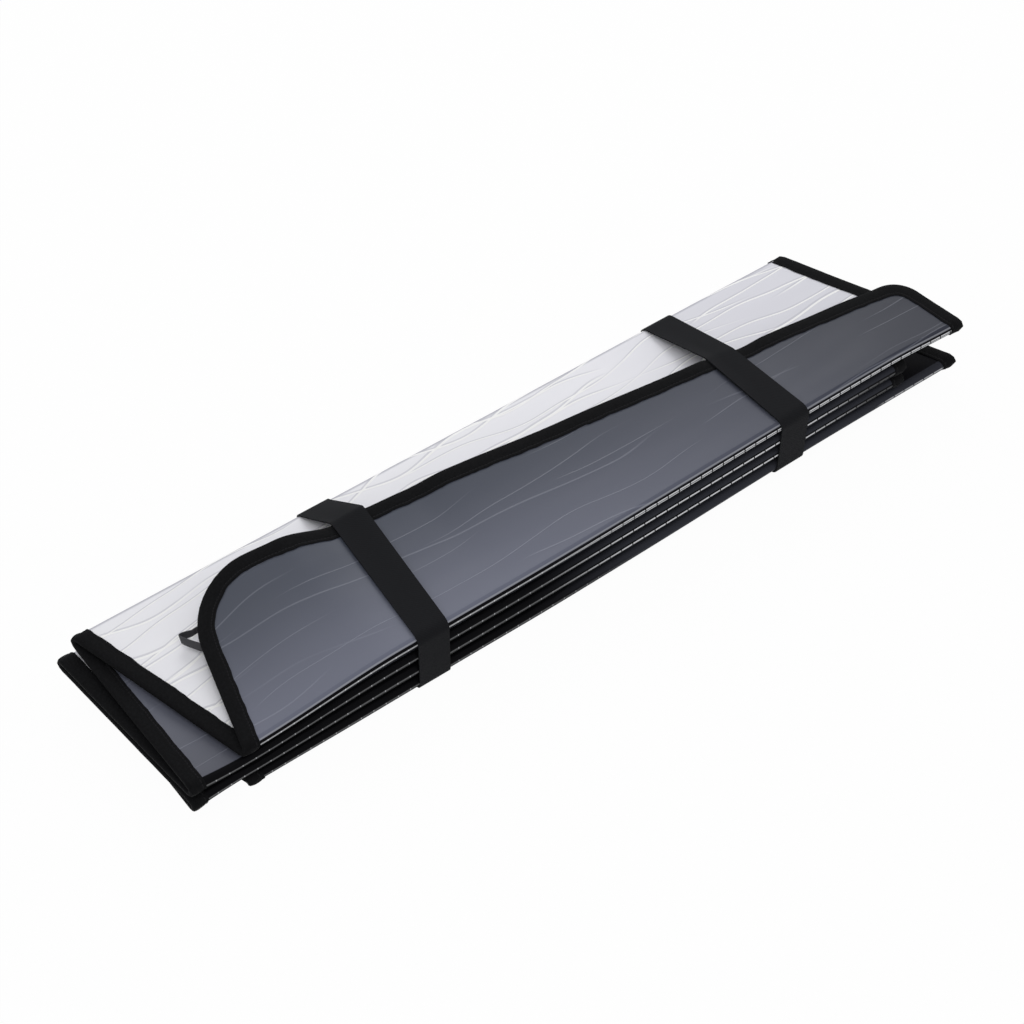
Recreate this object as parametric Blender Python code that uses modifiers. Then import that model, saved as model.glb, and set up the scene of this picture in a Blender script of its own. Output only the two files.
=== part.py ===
"""Folding windscreen sunshade, folded up like a concertina and held by two elastic straps.

One sheet of foil and foam laminate has eight panels. It is drawn flat first, as it is cut: "across" runs
over the panels from the middle fold, and "along" runs from the shade's bottom edge to its top edge, where
the middle panels are cut back for the mirror. The flat sheet and the tape that binds its cut edge are then
folded into the pack by one rule. In the pack X is along the folds, Y goes from the near folds to the far
folds, and Z is up. The first panel is on top, and its free edge springs up against the straps.
"""

from math import acos, asin, atan, atan2, ceil, cos, hypot, pi, sin, tan

import bmesh
import bpy
from mathutils import Vector

# Laminate sheet
SHEET_THICKNESS = 0.003
PANEL_WIDTH = 0.176

# Cut edge at the folds, along the sheet, from the middle fold outwards
BOTTOM_EDGE = (-0.0035, 0.0145, 0.0116, 0.0634)
TOP_EDGE = (0.749, 0.752, 0.7555, 0.819)

# Outer corners of the two end panels: distance from the panel's fold, and place along the sheet
END_BOTTOM_WIDTH = 0.148
END_BOTTOM_ALONG = 0.098
END_BOTTOM_RADIUS = 0.060
END_TOP_WIDTH = 0.073
END_TOP_ALONG = 0.807
END_TOP_RADIUS = 0.028

# How the folded pack lies
LAYER_PITCH = 0.0084
BOTTOM_END_SQUEEZE = 0.0016
PITCH_EASING = 0.150
NEAR_RISE_START = 0.300
NEAR_RISE_EASING = 0.450
NEAR_RISE = 0.009
NEAR_GATHER = 0.003
DROOP_START = 0.730
DROOP_EASING = 0.090
DROOP = 0.004
OPENING_RISE = 0.008
OPENING_EASING = 0.085

# Heights to which the top panel's free edge springs up, from the shade's bottom edge to its top edge,
# and the lengths over which it springs up beside each strap
RISE_CORNER = 0.026
RISE_BEFORE_LEFT = 0.030
RISE_UNDER_LEFT = 0.0095
RISE_BETWEEN = 0.0205
RISE_BEFORE_RIGHT = 0.0098
RISE_UNDER_RIGHT = 0.0010
RISE_PAST_RIGHT = 0.0038
RISE_TOP = 0.0035
LEFT_SPRING = (0.080, 0.105)
RIGHT_SPRING = (0.040, 0.055)
RISE_CURL = 1.25

# Woven tape that binds the cut edge
BINDING_WIDTH = 0.014
BINDING_THICKNESS = 0.0007
BINDING_GAP = 0.0006

# Elastic straps
STRAP_WIDTH = 0.030
STRAP_THICKNESS = 0.0012
STRAP_GAP = 0.0003
LEFT_STRAP_ALONG = 0.240
LEFT_STRAP_SKEW = 0.001
RIGHT_STRAP_ALONG = 0.614
RIGHT_STRAP_SKEW = -0.010

# Hanging loop of ribbon at the top panel
LOOP_RIBBON_WIDTH = 0.005
LOOP_RIBBON_THICKNESS = 0.0008
LOOP_LENGTH = 0.013
LOOP_SPREAD = 0.018
LOOP_LEAN = 0.009
LOOP_TUCK = 0.008
LOOP_FROM_FOLD = 0.107
LOOP_GAP = 0.0003

# Fineness of the mesh
FOLD_SEGMENTS = 4
PANEL_SEGMENTS = 4
ROW_SPACING = 0.041
END_ROW_SPACING = 0.0125
END_ROWS = 9
SPRUNG_ROW_SPACING = 0.0083
CORNER_SEGMENTS = 7
STRAP_SEGMENTS = 3
STRAP_TURN_SEGMENTS = 4
LOOP_SEGMENTS = 5

FOLDS = len(BOTTOM_EDGE) - 1
TOP_LAYER = 2 * FOLDS + 1
BEND = LAYER_PITCH / 2
HALF_BEND_LENGTH = pi * BEND / 2
DEPTH = PANEL_WIDTH - 2 * HALF_BEND_LENGTH
BINDING_REACH = SHEET_THICKNESS / 2 + BINDING_GAP + BINDING_THICKNESS
FLOOR_TO_SHEET = STRAP_THICKNESS + STRAP_GAP + BINDING_REACH


def smooth(value):
    """Ease from 0 to 1 with level ends."""
    value = min(max(value, 0.0), 1.0)
    return value * value * (3 - 2 * value)


def rise_at(along):
    """Height that the top panel's free edge has sprung up by."""
    stations = ((END_BOTTOM_ALONG, RISE_CORNER),
                (LEFT_STRAP_ALONG - LEFT_SPRING[0], RISE_BEFORE_LEFT),
                (LEFT_STRAP_ALONG, RISE_UNDER_LEFT),
                (LEFT_STRAP_ALONG + LEFT_SPRING[1], RISE_BETWEEN),
                (RIGHT_STRAP_ALONG - RIGHT_SPRING[0], RISE_BEFORE_RIGHT),
                (RIGHT_STRAP_ALONG, RISE_UNDER_RIGHT),
                (RIGHT_STRAP_ALONG + RIGHT_SPRING[1], RISE_PAST_RIGHT),
                (END_TOP_ALONG, RISE_TOP))
    height = stations[0][1]
    for (start, low), (end, high) in zip(stations, stations[1:]):
        height += (high - low) * smooth((along - start) / (end - start))
    return height


def end_panel_width(along):
    """Width of an end panel from its fold to its free edge."""
    share = (along - END_BOTTOM_ALONG) / (END_TOP_ALONG - END_BOTTOM_ALONG)
    return END_BOTTOM_WIDTH + share * (END_TOP_WIDTH - END_BOTTOM_WIDTH)


def level(layer, along, out):
    """Height of a layer's middle surface. Layer 0 lies lowest."""
    nearness = 1 - out / DEPTH
    slackness = nearness * (1 - smooth((along - BOTTOM_EDGE[-1]) / PITCH_EASING))
    height = FLOOR_TO_SHEET + layer * (LAYER_PITCH - BOTTOM_END_SQUEEZE * slackness)
    from_middle = layer - TOP_LAYER / 2

    # Towards the shade's top edge the near folds lie higher, the lowest ones most of all. The lowest panel
    # slopes down to its free edge, which stays on the floor. The upper two panels droop a little at their
    # near corner, where they stand out past the inner ones.
    raised = smooth((along - NEAR_RISE_START) / NEAR_RISE_EASING)
    slope = max(0.0, 1 - out / (end_panel_width(along) if layer == 0 else DEPTH))
    height += slope * raised * (NEAR_RISE + NEAR_GATHER * (1 - layer / TOP_LAYER))
    if layer > TOP_LAYER - 2:
        height -= slope * DROOP * smooth((along - DROOP_START) / DROOP_EASING)

    # Past the outer panels' bottom edge the middle ones are free to spring apart.
    if 1 < layer < TOP_LAYER - 1:
        outer_edge = BOTTOM_EDGE[-1] + (BOTTOM_EDGE[-2] - BOTTOM_EDGE[-1]) * out / DEPTH
        opening = smooth((outer_edge - along) / OPENING_EASING)
        height += OPENING_RISE * opening * from_middle / (FOLDS - 1.5)
    return height


def fold(across, along, off):
    """Place in the folded pack of a point on the flat sheet, off its middle surface on the dark side."""
    line = max(-FOLDS, min(FOLDS, round(across / PANEL_WIDTH)))
    past = across - line * PANEL_WIDTH
    near = 1 if (line + FOLDS) % 2 == 0 else -1
    centre = BEND if near == 1 else BEND + DEPTH
    above = FOLDS + 1 - line

    if abs(past) < HALF_BEND_LENGTH:
        turn = past / BEND
        high = level(above, along, centre)
        low = level(above - 1, along, centre)
        y = centre - near * (BEND + near * off) * cos(turn)
        z = (high + low) / 2 - ((high - low) / 2 + near * off) * sin(turn)
        return Vector((along, y, z))

    layer = above if past < 0 else above - 1
    run = abs(past) - HALF_BEND_LENGTH
    up = 1 if (TOP_LAYER - layer) % 2 == 0 else -1
    if layer < TOP_LAYER:
        y = centre + near * run
        return Vector((along, y, level(layer, along, y) + up * off))

    width = end_panel_width(along)
    rise = rise_at(along)
    share = max(run, 0.0) / width
    tilt = atan(rise * RISE_CURL * share ** (RISE_CURL - 1) / width)
    y = centre + run * cos(asin(rise / width)) - off * sin(tilt)
    z = level(layer, along, centre) + rise * share ** RISE_CURL + off * cos(tilt)
    return Vector((along, y, z))


def round_corner(before, corner, after, radius):
    """Points of an arc that rounds a corner of the outline."""
    towards = (before - corner).normalized()
    away = (after - corner).normalized()
    half = towards.angle(away) / 2
    middle = corner + (towards + away).normalized() * radius / sin(half)
    start = corner + towards * radius / tan(half) - middle
    end = corner + away * radius / tan(half) - middle
    steps = range(CORNER_SEGMENTS + 1)
    return [middle + radius * start.slerp(end, step / CORNER_SEGMENTS) for step in steps]


def outline():
    """Cut edge of the flat sheet as a loop of points (across, along)."""
    bottom = [Vector((line * PANEL_WIDTH, place)) for line, place in enumerate(BOTTOM_EDGE)]
    top = [Vector((line * PANEL_WIDTH, place)) for line, place in enumerate(TOP_EDGE)]
    low = Vector((FOLDS * PANEL_WIDTH + END_BOTTOM_WIDTH, END_BOTTOM_ALONG))
    high = Vector((FOLDS * PANEL_WIDTH + END_TOP_WIDTH, END_TOP_ALONG))
    half = bottom
    half += round_corner(bottom[-1], low, high, END_BOTTOM_RADIUS)
    half += round_corner(low, high, top[-1], END_TOP_RADIUS)
    half += top[::-1]
    other = [Vector((-point.x, point.y)) for point in half[-2:0:-1]]
    return half + other


def offset_loop(points, distance):
    """The same loop moved outwards by a distance, with mitred corners."""
    moved = []
    for before, point, after in zip(points[-1:] + points[:-1], points, points[1:] + points[:1]):
        first = (point - before).normalized()
        second = (after - point).normalized()
        outward = Vector((first.y + second.y, -first.x - second.x)).normalized()
        moved.append(point + outward * distance / outward.dot(Vector((first.y, -first.x))))
    return moved


def stations_between(start, end, fineness=1):
    """Evenly spaced places after the start, up to and with the end."""
    rows = ceil((end - start) * fineness / ROW_SPACING)
    return [start + (end - start) * row / rows for row in range(1, rows + 1)]


def cut_stations():
    """Places across and along the flat sheet where its mesh gets an edge."""
    across = []
    for line in range(-FOLDS, FOLDS + 1):
        for step in range(FOLD_SEGMENTS + 1):
            across.append(line * PANEL_WIDTH + HALF_BEND_LENGTH * (2 * step / FOLD_SEGMENTS - 1))
    for panel in range(-FOLDS - 1, FOLDS + 1):
        for step in range(1, PANEL_SEGMENTS):
            across.append(panel * PANEL_WIDTH + HALF_BEND_LENGTH + DEPTH * step / PANEL_SEGMENTS)
    along = [BOTTOM_EDGE[0] + END_ROW_SPACING * row for row in range(1, END_ROWS + 1)]
    along += stations_between(along[-1], TOP_EDGE[0])
    along += stations_between(TOP_EDGE[0], TOP_EDGE[-1], 2)
    return across, along[:-1]


def sprung_stations(along):
    """Closer places along the top panel, in between the sheet's own rows."""
    closer = []
    for start, end in zip(along, along[1:]):
        rows = ceil((end - start) / SPRUNG_ROW_SPACING)
        closer += [start + (end - start) * row / rows for row in range(1, rows)]
    return closer


def cut_row(bm, faces, point, normal):
    """Give some faces an edge where a plane crosses them."""
    verts = {vertex for face in faces for vertex in face.verts}
    edges = {edge for face in faces for edge in face.edges}
    bmesh.ops.bisect_plane(bm, geom=[*verts, *edges, *faces], dist=0.00002, plane_co=point, plane_no=normal)


def cut_and_fold(bm):
    """Give a flat sheet its mesh lines and fold it. Flat, its vertices hold (across, along, off)."""
    across, along = cut_stations()
    for place in across:
        cut_row(bm, bm.faces[:], (place, 0, 0), (1, 0, 0))
    for place in along:
        cut_row(bm, bm.faces[:], (0, place, 0), (0, 1, 0))
    top_panel_start = -FOLDS * PANEL_WIDTH - HALF_BEND_LENGTH
    for place in sprung_stations(along):
        top_panel = [face for face in bm.faces if face.calc_center_median().x < top_panel_start]
        cut_row(bm, top_panel, (0, place, 0), (0, 1, 0))
    for vertex in bm.verts:
        vertex.co = fold(*vertex.co)
    bmesh.ops.recalc_face_normals(bm, faces=bm.faces)


def add_object(name, bm, material):
    """Link a mesh to the sunshade's collection."""
    mesh = bpy.data.meshes.new(name)
    bm.to_mesh(mesh)
    bm.free()
    mesh.materials.append(material)
    item = bpy.data.objects.new(name, mesh)
    bpy.data.collections["windscreen_sunshade"].objects.link(item)
    return item


def add_thickness(item, thickness):
    """Thicken a surface evenly to both sides."""
    solidify = item.modifiers.new("Thickness", "SOLIDIFY")
    solidify.thickness = thickness
    solidify.offset = 0
    solidify.use_even_offset = True
    solidify.use_quality_normals = True


def new_material(name, colour, roughness, metallic):
    """Plain Principled material."""
    material = bpy.data.materials.new(name)
    material.use_nodes = True
    shader = material.node_tree.nodes["Principled BSDF"]
    shader.inputs["Base Color"].default_value = (*colour, 1)
    shader.inputs["Roughness"].default_value = roughness
    shader.inputs["Metallic"].default_value = metallic
    return material


def build_sheet(material):
    """The laminate: its flat outline, filled, cut, folded and thickened."""
    bm = bmesh.new()
    bm.faces.new([bm.verts.new((point.x, point.y, 0)) for point in outline()])
    cut_and_fold(bm)
    item = add_object("shade_sheet", bm, material)
    add_thickness(item, SHEET_THICKNESS)
    return item


def build_binding(material):
    """The tape round the cut edge: one wall outside the edge and a flap on each side of the sheet."""
    side = BINDING_REACH - BINDING_THICKNESS / 2
    edge = BINDING_GAP + BINDING_THICKNESS / 2
    flap = BINDING_REACH - SHEET_THICKNESS / 2 - BINDING_WIDTH
    points = outline()
    bm = bmesh.new()
    loop = [bm.verts.new((point.x, point.y, side)) for point in offset_loop(points, flap)]
    edges = [bm.edges.new(pair) for pair in zip(loop, loop[1:] + loop[:1])]
    for distance, off in ((edge, side), (edge, -side), (flap, -side)):
        extruded = bmesh.ops.extrude_edge_only(bm, edges=edges)["geom"]
        edges = [part for part in extruded if isinstance(part, bmesh.types.BMEdge)]
        moved = offset_loop(points, distance)
        copies = [part for part in extruded if isinstance(part, bmesh.types.BMVert)]
        previous = {vertex: index for index, vertex in enumerate(loop)}
        ordered = [None] * len(loop)
        for vertex in copies:
            partner = next(link.other_vert(vertex) for link in vertex.link_edges
                           if link.other_vert(vertex) in previous)
            ordered[previous[partner]] = vertex
        for vertex, point in zip(ordered, moved):
            vertex.co = (point.x, point.y, off)
        loop = ordered
    cut_and_fold(bm)
    item = add_object("edge_binding", bm, material)
    add_thickness(item, BINDING_THICKNESS)
    return item


def strap_posts(along):
    """What a strap is stretched round at one place along the pack: centres and radii, in order."""
    reach = STRAP_GAP + STRAP_THICKNESS / 2
    clear = BEND + BINDING_REACH + reach
    near = BEND + BINDING_REACH - SHEET_THICKNESS / 2
    far = 2 * BEND + DEPTH - near
    edge = FOLDS * PANEL_WIDTH + end_panel_width(along) + BINDING_GAP + BINDING_THICKNESS

    def between(layer, out):
        return (level(layer, along, out) + level(layer + 1, along, out)) / 2

    bottom_corner = fold(edge, along, BINDING_REACH)
    top_corner = fold(-edge, along, BINDING_REACH)
    return [((near, between(0, near)), clear), ((bottom_corner.y, bottom_corner.z), reach),
            ((far, between(1, far)), clear), ((far, between(TOP_LAYER - 2, far)), clear),
            ((top_corner.y, top_corner.z), reach), ((near, between(TOP_LAYER - 1, near)), clear)]


def stretched_round(posts):
    """Closed path of a band pulled tight round the posts, as points (out, height)."""
    facings = []
    for (centre, radius), (following, following_radius) in zip(posts, posts[1:] + posts[:1]):
        step = (following[0] - centre[0], following[1] - centre[1])
        lean = acos((radius - following_radius) / hypot(*step))
        facings.append(atan2(step[1], step[0]) - lean)
    path = []
    for index, (centre, radius) in enumerate(posts):
        start = facings[index - 1]
        turn = (facings[index] - start) % (2 * pi)
        for step in range(STRAP_TURN_SEGMENTS + 1):
            facing = start + turn * step / STRAP_TURN_SEGMENTS
            path.append((centre[0] + radius * cos(facing), centre[1] + radius * sin(facing)))
    return path


def build_strap(name, along, skew, material):
    """A closed band of elastic, pulled tight round the pack."""
    columns = [along + STRAP_WIDTH * (step / STRAP_SEGMENTS - 0.5) for step in range(STRAP_SEGMENTS + 1)]
    paths = [stretched_round(strap_posts(column)) for column in columns]
    count = len(paths[0])
    bm = bmesh.new()
    bmesh.ops.create_grid(bm, x_segments=count, y_segments=STRAP_SEGMENTS, size=1)
    bm.verts.ensure_lookup_table()
    for vertex in bm.verts:
        station = round((vertex.co.x + 1) / 2 * count) % count
        column = round((vertex.co.y + 1) / 2 * STRAP_SEGMENTS)
        out, height = paths[column][station]
        slant = skew * ((out - BEND) / DEPTH - 0.5)
        vertex.co = (columns[column] + slant, out, height)
    bmesh.ops.remove_doubles(bm, verts=bm.verts, dist=0.00001)
    bmesh.ops.recalc_face_normals(bm, faces=bm.faces)
    item = add_object(name, bm, material)
    add_thickness(item, STRAP_THICKNESS)
    return item


def loop_base():
    """Place along the sheet where the loop leaves the top panel's bottom end."""
    run = (END_BOTTOM_ALONG - BOTTOM_EDGE[-1]) / END_BOTTOM_WIDTH
    return BOTTOM_EDGE[-1] + run * LOOP_FROM_FOLD - BINDING_GAP - BINDING_THICKNESS


def build_loop(material):
    """A ribbon on edge, bent back on itself, with both ends tucked under the binding."""
    base = loop_base()
    steps = range(2 * LOOP_SEGMENTS + 1)
    path = []
    for step in steps:
        turn = pi * (step / (2 * LOOP_SEGMENTS) - 0.5)
        share = 1 - abs(sin(turn)) ** 1.5
        from_fold = LOOP_FROM_FOLD + LOOP_SPREAD / 2 * sin(turn) + LOOP_LEAN * share
        path.append((from_fold, base - LOOP_LENGTH * share))
    path.insert(0, (path[0][0], base + LOOP_TUCK))
    path.append((path[-1][0], base + LOOP_TUCK))
    upper = -BINDING_REACH - LOOP_GAP
    lower = upper - LOOP_RIBBON_WIDTH
    bm = bmesh.new()
    bmesh.ops.create_grid(bm, x_segments=len(path) - 1, y_segments=1, size=1)
    for vertex in bm.verts:
        from_fold, along = path[round((vertex.co.x + 1) / 2 * (len(path) - 1))]
        off = upper if vertex.co.y > 0 else lower
        vertex.co = fold(-FOLDS * PANEL_WIDTH - from_fold, along, off)
    bmesh.ops.recalc_face_normals(bm, faces=bm.faces)
    item = add_object("hanging_loop", bm, material)
    add_thickness(item, LOOP_RIBBON_THICKNESS)
    return item


def stand_on_origin(items):
    """Move the pack so that the middle of its box stands on the origin."""
    graph = bpy.context.evaluated_depsgraph_get()
    corners = [Vector(corner) for item in items for corner in item.evaluated_get(graph).bound_box]
    middle = [(min(c[axis] for c in corners) + max(c[axis] for c in corners)) / 2 for axis in (0, 1)]
    bottom = min(corner.z for corner in corners)
    for item in items:
        for vertex in item.data.vertices:
            vertex.co -= Vector((*middle, bottom))


def main():
    for item in list(bpy.data.objects):
        bpy.data.objects.remove(item)
    collection = bpy.data.collections.new("windscreen_sunshade")
    bpy.context.scene.collection.children.link(collection)

    film = new_material("laminate", (0.11, 0.11, 0.13), 0.35, 0.4)
    tape = new_material("binding_tape", (0.006, 0.006, 0.007), 0.85, 0.0)
    elastic = new_material("elastic", (0.010, 0.011, 0.013), 0.8, 0.0)
    ribbon = new_material("ribbon", (0.03, 0.03, 0.035), 0.7, 0.0)

    items = [build_sheet(film), build_binding(tape)]
    items.append(build_strap("strap_left", LEFT_STRAP_ALONG, LEFT_STRAP_SKEW, elastic))
    items.append(build_strap("strap_right", RIGHT_STRAP_ALONG, RIGHT_STRAP_SKEW, elastic.copy()))
    items.append(build_loop(ribbon))
    stand_on_origin(items)


main()
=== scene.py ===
"""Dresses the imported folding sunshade: its foil and foam sheet, the bound edge, two elastic straps and the
hanging loop, in a plain studio.

The sheet and its binding are drawn flat, as they are cut: "across" runs over the panels from the middle fold,
and "along" from the shade's bottom edge to its top edge. One rule folds them into the pack. All lengths are
in metres.
"""

from math import acos, asin, atan, atan2, ceil, cos, floor, hypot, pi, radians, sin, tan

import bmesh
import bpy
from mathutils import Matrix, Vector, noise


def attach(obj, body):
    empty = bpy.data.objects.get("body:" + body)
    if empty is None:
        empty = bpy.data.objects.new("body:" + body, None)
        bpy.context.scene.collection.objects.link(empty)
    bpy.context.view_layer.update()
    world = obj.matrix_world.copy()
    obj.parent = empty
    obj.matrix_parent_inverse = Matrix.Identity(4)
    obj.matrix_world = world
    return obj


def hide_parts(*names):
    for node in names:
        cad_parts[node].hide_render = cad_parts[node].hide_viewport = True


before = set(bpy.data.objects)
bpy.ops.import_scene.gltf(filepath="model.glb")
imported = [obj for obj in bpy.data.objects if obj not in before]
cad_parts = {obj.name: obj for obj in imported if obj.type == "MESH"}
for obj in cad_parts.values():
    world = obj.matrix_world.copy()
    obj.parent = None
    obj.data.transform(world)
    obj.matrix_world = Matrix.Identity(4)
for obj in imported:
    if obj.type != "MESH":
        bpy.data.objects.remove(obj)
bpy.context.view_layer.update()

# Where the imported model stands, from the corner that the folds are measured from
PLACE = Vector((-0.4078, -0.0856, 0.0))

# Laminate sheet: panels, cut edge and the outer corners of the end panels
SHEET_THICKNESS = 0.003
PANEL_WIDTH = 0.176
BOTTOM_EDGE = (-0.0035, 0.0145, 0.0116, 0.0634)
TOP_EDGE = (0.749, 0.752, 0.7555, 0.819)
FOLDS = 3
TOP_LAYER = 7
END_BOTTOM_WIDTH = 0.148
END_BOTTOM_ALONG = 0.098
END_BOTTOM_RADIUS = 0.060
END_TOP_WIDTH = 0.073
END_TOP_ALONG = 0.807
END_TOP_RADIUS = 0.028
SHEET_EDGE = FOLDS * PANEL_WIDTH + END_BOTTOM_WIDTH

# How the folded pack lies
LAYER_PITCH = 0.0084
BOTTOM_END_SQUEEZE = 0.0016
PITCH_EASING = 0.150
NEAR_RISE_START = 0.300
NEAR_RISE_EASING = 0.450
NEAR_RISE = 0.009
NEAR_GATHER = 0.003
DROOP_START = 0.730
DROOP_EASING = 0.090
DROOP = 0.004
OPENING_RISE = 0.008
OPENING_EASING = 0.085
BEND = LAYER_PITCH / 2
HALF_BEND_LENGTH = pi * BEND / 2
DEPTH = PANEL_WIDTH - 2 * HALF_BEND_LENGTH

# Free edge of the top panel: places along it, and the heights to which it springs up between the straps
SPRINGS = ((0.098, 0.0250), (0.150, 0.0300), (0.180, 0.0280), (0.236, 0.0095), (0.262, 0.0140),
           (0.300, 0.0155), (0.338, 0.0205), (0.450, 0.0142), (0.590, 0.0083), (0.612, 0.0021),
           (0.638, 0.0005), (0.660, 0.0030), (0.721, 0.0010), (0.766, 0.0010), (0.807, 0.0035))
SPRING_CURL = 1.25

# Unevenness of the foam, in rows: waves per metre across and along, where the noise starts, and height
RIPPLES = ((26, 5.5, 3.1, 0.00045), (75, 11, 8.7, 0.00022))

# Cells of the sheet: widths on the panels in view, on the lowest panel and on those between, length along,
# and how many to half a bend and to a rounded corner
CELL_IN_VIEW = 0.0033
CELL_BELOW = 0.0070
CELL_BETWEEN = 0.0110
ROW_LENGTH = 0.0060
HALF_BEND_CELLS = 6
CORNER_SEGMENTS = 10

# A place across that lies outside the blank, and how close points lie that count as one
BEYOND_BLANK = 1.0
MERGE_DISTANCE = 0.00001

# Angles in degrees above which an edge stays sharp
SHEET_SHARPNESS = 50
BAND_SHARPNESS = 60

# The sheet's own materials, in order
FILM, FOIL, FOAM, DULL_FILM = range(4)

# Binding tape. Its section has a flap, from the inner edge outwards, and a turn at the cut edge. Each is
# given by steps out and off.
BINDING_WIDTH = 0.014
BINDING_THICKNESS = 0.0007
BINDING_GAP = 0.0006
BINDING_REACH = SHEET_THICKNESS / 2 + BINDING_GAP + BINDING_THICKNESS
BINDING_STEP = 0.0035
BINDING_EDGE_OFF = SHEET_THICKNESS / 2 + BINDING_THICKNESS * 0.65
BINDING_FLAP = ((0.0012, -0.0001), (0.0026, -0.00035), (0.0040, 0.0), (0.0065, 0.0002), (0.0090, 0.0002))
BINDING_TURN = ((-0.0025, 0.0), (-0.0008, -0.0004), (0.0, -0.0014))
STITCH_INSET = 0.0028
STITCH_PITCH = 0.0030
STITCH_SEAM_HALF = 0.0003
STITCH_SEAM_SOFTNESS = 0.0005
STITCH_HALF_SHARE = 0.30
STITCH_SOFT_SHARE = 0.08

# Unevenness of the tape along its length: waves per metre, where the noise starts and how far apart for its
# two sides, and size. The pucker also changes over the tape's width.
BINDING_SWAY = {"waves": 90, "start": 0.5, "apart": 7.0, "size": 0.0009}
BINDING_FRAY = {"waves": 400, "start": 2.5, "apart": 5.0, "size": 0.0004}
BINDING_PUCKER = {"waves": 260, "apart": 3.0, "size": 0.00016}
BINDING_PUCKER_WAVES_OUT = 150

# Elastic straps
STRAP_WIDTH = 0.030
STRAP_THICKNESS = 0.0012
STRAP_GAP = 0.0003
STRAP_RIDGE_GAP = 0.0005
STRAP_COLUMNS = 10
STRAP_STATIONS = 180
STRAP_STATION_LENGTH = 0.0025
STRAP_TURN_SEGMENTS = 8
STRAP_PUSH_EASING = 0.004
LEFT_STRAP = {"along": 0.240, "skew": 0.001, "push": 0.008}
RIGHT_STRAP = {"along": 0.614, "skew": -0.010, "push": 0.000}
RIDGE_POST = 4
FLOOR_TO_SHEET = STRAP_THICKNESS + STRAP_GAP + BINDING_REACH

# Hanging loop, with its twists in radians
LOOP_RIBBON_WIDTH = 0.0080
LOOP_RIBBON_THICKNESS = 0.0006
LOOP_LENGTH = 0.0105
LOOP_SPREAD = 0.014
LOOP_LEAN = 0.009
LOOP_ROUNDNESS = 1.5
LOOP_NEAR_TWIST = -0.95
LOOP_FAR_TWIST = -0.15
LOOP_TUCK = 0.008
LOOP_FROM_FOLD = 0.109
LOOP_GAP = 0.0003
LOOP_SEGMENTS = 32
LOOP_COLUMNS = 3
LOOP_PATTERN_LENGTH = 0.05

# Painted shade and highlights along the near folds, by distances past the fold: where the turned film has its
# painted shade, where the painted highlight on its pale rim, the bright painted highlight and the painted
# shade of its groove lie
FOLD_DARK_TOP = 0.0029
FOLD_DARK_START = 0.0062
FOLD_DARK_SOFTNESS = 0.0005
FOLD_DARK_END = (0.008, 0.012)
FOLD_RIM = 0.0036
FOLD_RIM_EDGE = (0.0003, 0.0009)
FOLD_RIM_HIGHLIGHT_SHARE = 0.60
FOLD_LINE = 0.0003
FOLD_LINE_HALF = 0.0006
FOLD_LINE_SOFTNESS = 0.0002
FOLD_GROOVE_EDGE = (0.0010, 0.0014)
FOLD_SPLIT = (0.0003, 0.0006)

# The bright painted highlight, place by place along the shade: the span over which the folds grow taut, ticks
# where they are slack, dashes where they are taut, and the spans over which the dashes fade or the last
# fold's come up
FOLD_TAUT = (0.33, 0.47)
FOLD_TICK_PITCH = 0.0120
FOLD_TICK = (0.450, 0.480)
FOLD_TICK_LEVEL = 0.45
FOLD_SLACK_LEVEL = 0.16
FOLD_FIRST_SLACK_GAIN = 0.40
FOLD_DASH = (0.435, 0.465)
FOLD_SPLIT_DEPTH = 0.8
FOLD_FADE = (0.62, 0.72)
FOLD_FADED_LEVEL = 0.12
FOLD_LAST_SPAN = (0.72, 0.74)
FOLD_LAST_LEVEL = 0.6

# Creases of the two faces: rows per metre, slant, sway and where their noise starts. Lines are given by their
# middle, half their width and their soft edge, in rows, and patches by the span of noise where they show. The
# creases are drawn with painted highlights on their ridges, and on the foil with painted shade at their foot.
CREASE_BEND_SCALE = 5.5
PATCH_SCALE = 6.0
PATCH_NARROWING = 4.0
FILM_CREASES = ((24.0, 1.3, 1.0, 0.0), (19.0, -1.6, 0.8, 4.0), (31.0, 0.5, 1.2, 9.0))
FILM_CREASE_LINE = (0.0, 0.004, 0.018)
FILM_CREASE_PATCHES = (0.44, 0.58)
FILM_CREASE_HIGHLIGHT_SHARE = 0.17
FOIL_CREASES = ((38.0, 2.6, 2.6, 0.0), (31.0, -2.0, 2.9, 6.0), (44.0, 0.8, 3.2, 11.0))
FOIL_RIDGE_LINE = (0.0, 0.020, 0.018)
FOIL_FOOT_LINE = (0.060, 0.012, 0.030)
FOIL_CREASE_PATCHES = (0.36, 0.48)
FOIL_FOOT_SHADE_SHARE = 0.40

# Where the faces change colour and roughness: over the clouds' noise, along the shade, and across the panels,
# of which the film's spans are given in panels from the middle fold. The changes along the shade are painted
# shade towards its top end; across, the film has painted sheen towards the top panel's near fold and painted
# shade on the inner panels, and the foil has painted shade on each fold's nose.
CLOUD_SPAN = (0.3, 0.7)
FILM_LIT_START = -3.7
FILM_SHADE_START = -2.7
FILM_TOP_SHADE_SPAN = (0.25, 0.85)
FILM_TOP_SHADE_SHARE = 0.95
FILM_ROUGHNESS = (0.38, 0.46)
FOIL_TOP_SHADE_SPAN = (0.50, 0.68)
FOIL_TURN_SHADE_SPAN = (0.0045, 0.0068)
FOIL_TURN_SHADE_SHARE = 0.75
FOIL_ROUGHNESS = (0.50, 0.60)

# Noise in the faces: waves per metre across and along the folds and detail of the clouds, and scale and
# detail of the grain
FILM_CLOUDS = (9.0, 3.0, 3.0)
FILM_GRAIN = (900.0, 2.0)
FOIL_CLOUDS = (20.0, 5.0, 2.0)
FOIL_GRAIN = (1400.0, 1.0)
FOAM_CELLS = (1200.0, 1.0)
TAPE_FUZZ = (420.0, 3.0)
TAPE_FUZZ_SPAN = (0.35, 0.7)
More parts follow.
